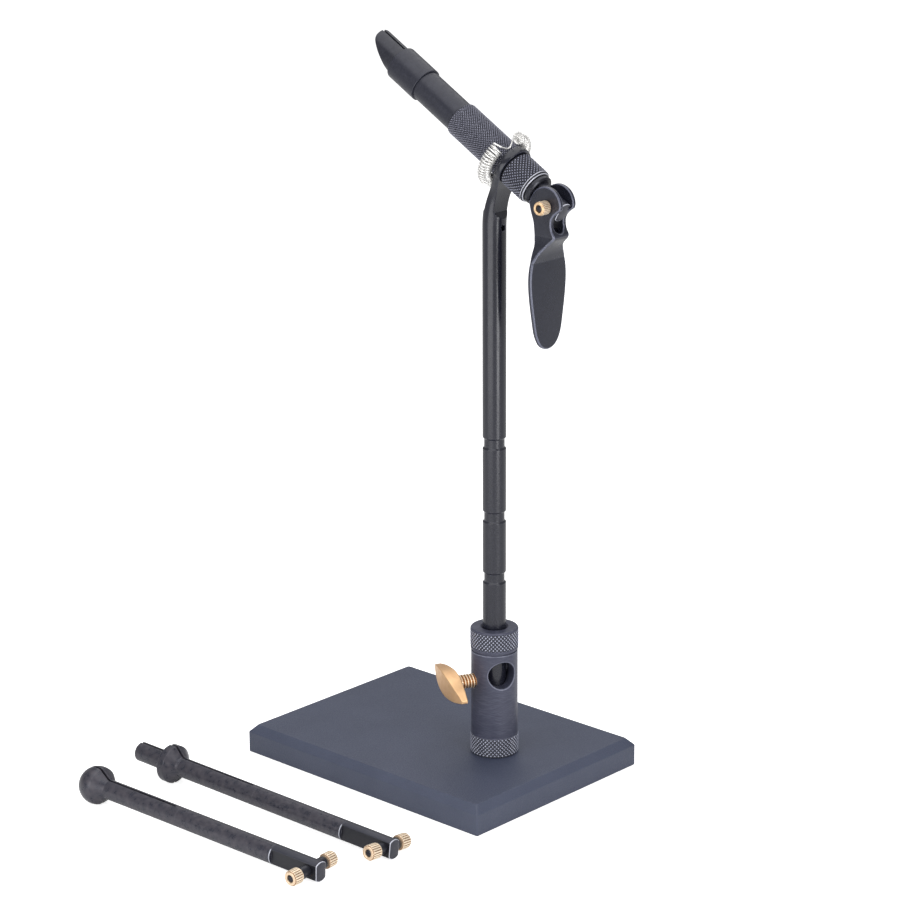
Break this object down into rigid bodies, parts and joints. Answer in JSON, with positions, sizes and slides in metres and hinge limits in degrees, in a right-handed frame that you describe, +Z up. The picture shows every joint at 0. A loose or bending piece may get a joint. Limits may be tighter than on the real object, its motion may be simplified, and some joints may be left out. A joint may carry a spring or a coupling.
{
  "type": "fly tying vise",
  "caption": "Pedestal fly tying vise: a cam lever draws a split collet into a tilted rotary barrel on a height-adjustable stem, with spare ball and tube collets beside it.",
  "frame": {"origin": "centre of the base plate's underside", "axes": "+X from the post towards the jaws, +Z up, -Z out of the base's underside"},
  "size_m": [0.1513, 0.1838, 0.3027],
  "materials": {
    "powder_coat": "satin",
    "black_steel": "satin",
    "oxide_steel": "satin",
    "gloss_black_steel": "gloss",
    "brass": "satin",
    "spring_wire": "gloss"
  },
  "bodies": {
    "base": {"base_plate": "powder_coat", "base_bolt": "black_steel"},
    "post": {"pedestal_post": "oxide_steel"},
    "clamp_screw": {"thumb_screw": "brass"},
    "stem": {"stem": "gloss_black_steel"},
    "barrel": {"barrel_sleeve": "oxide_steel", "nose_collar": "oxide_steel", "material_spring": "spring_wire"},
    "knob": {"adjusting_knob": "oxide_steel", "thrust_bush": "black_steel"},
    "collet": {"jaw_collet": "oxide_steel", "cross_pin": "black_steel"},
    "lever": {"cam_lever": "gloss_black_steel"},
    "nut_left": {"pin_nut_left": "brass"},
    "nut_right": {"pin_nut_right": "brass"},
    "spare_ball": {"ball_collet": "oxide_steel", "ball_collet_pin": "black_steel", "ball_collet_bushes": "black_steel"},
    "spare_ball_nut_left": {"ball_collet_nut_left": "brass"},
    "spare_ball_nut_right": {"ball_collet_nut_right": "brass"},
    "spare_tube": {"tube_collet": "oxide_steel", "tube_collet_pin": "black_steel", "tube_collet_bushes": "black_steel"},
    "spare_tube_nut_left": {"tube_collet_nut_left": "brass"},
    "spare_tube_nut_right": {"tube_collet_nut_right": "brass"}
  },
  "joints": [
    {"name": "post_turn", "type": "hinge", "parent": "base", "child": "post", "pos_m": [-0.0302, 0, 0.012], "axis": [0, 0, 1], "continuous": true},
    {"name": "screw_turn", "type": "hinge", "parent": "post", "child": "clamp_screw", "pos_m": [-0.0302, 0, 0.0439], "axis": [0.4384, 0.8988, 0], "range_deg": [-360, 360]},
    {"name": "stem_slide", "type": "slide", "parent": "post", "child": "stem", "axis": [0, 0, 1], "range_m": [-0.012, 0.004]},
    {"name": "barrel_turn", "type": "hinge", "parent": "stem", "child": "barrel", "pos_m": [-0.0394, 0, 0.2567], "axis": [0.8669, 0, 0.4985], "continuous": true},
    {"name": "knob_turn", "type": "hinge", "parent": "barrel", "child": "knob", "pos_m": [-0.0394, 0, 0.2567], "axis": [0.8669, 0, 0.4985], "range_deg": [-180, 180]},
    {"name": "collet_draw", "type": "slide", "parent": "barrel", "child": "collet", "axis": [0.8669, 0, 0.4985], "range_m": [0, 0.0011]},
    {"name": "lever_swing", "type": "hinge", "parent": "collet", "child": "lever", "pos_m": [-0.06103, 0, 0.24426], "axis": [0, 1, 0], "range_deg": [0, 105]},
    {"name": "nut_left_turn", "type": "hinge", "parent": "collet", "child": "nut_left", "pos_m": [-0.06103, 0, 0.24426], "axis": [0, 1, 0], "continuous": true},
    {"name": "nut_right_turn", "type": "hinge", "parent": "collet", "child": "nut_right", "pos_m": [-0.06103, 0, 0.24426], "axis": [0, 1, 0], "continuous": true},
    {"name": "spare_ball_lift", "type": "slide", "parent": "base", "child": "spare_ball", "axis": [0, 0, 1], "range_m": [0, 0.08]},
    {"name": "spare_ball_nut_left_turn", "type": "hinge", "parent": "spare_ball", "child": "spare_ball_nut_left", "pos_m": [-0.04371, 0.11923, 0.00419], "axis": [-0.068, 0.9977, 0], "continuous": true},
    {"name": "spare_ball_nut_right_turn", "type": "hinge", "parent": "spare_ball", "child": "spare_ball_nut_right", "pos_m": [-0.04371, 0.11923, 0.00419], "axis": [-0.068, 0.9977, 0], "continuous": true},
    {"name": "spare_tube_lift", "type": "slide", "parent": "base", "child": "spare_tube", "axis": [0, 0, 1], "range_m": [0, 0.08]},
    {"name": "spare_tube_nut_left_turn", "type": "hinge", "parent": "spare_tube", "child": "spare_tube_nut_left", "pos_m": [-0.05141, 0.0858, 0.00416], "axis": [-0.0571, 0.9931, 0.1027], "continuous": true},
    {"name": "spare_tube_nut_right_turn", "type": "hinge", "parent": "spare_tube", "child": "spare_tube_nut_right", "pos_m": [-0.05141, 0.0858, 0.00416], "axis": [-0.0571, 0.9931, 0.1027], "continuous": true}
  ],
  "couplings": [
    {"joint": "collet_draw", "follows": "lever_swing", "m_per_rad": 0.0006}
  ]
}
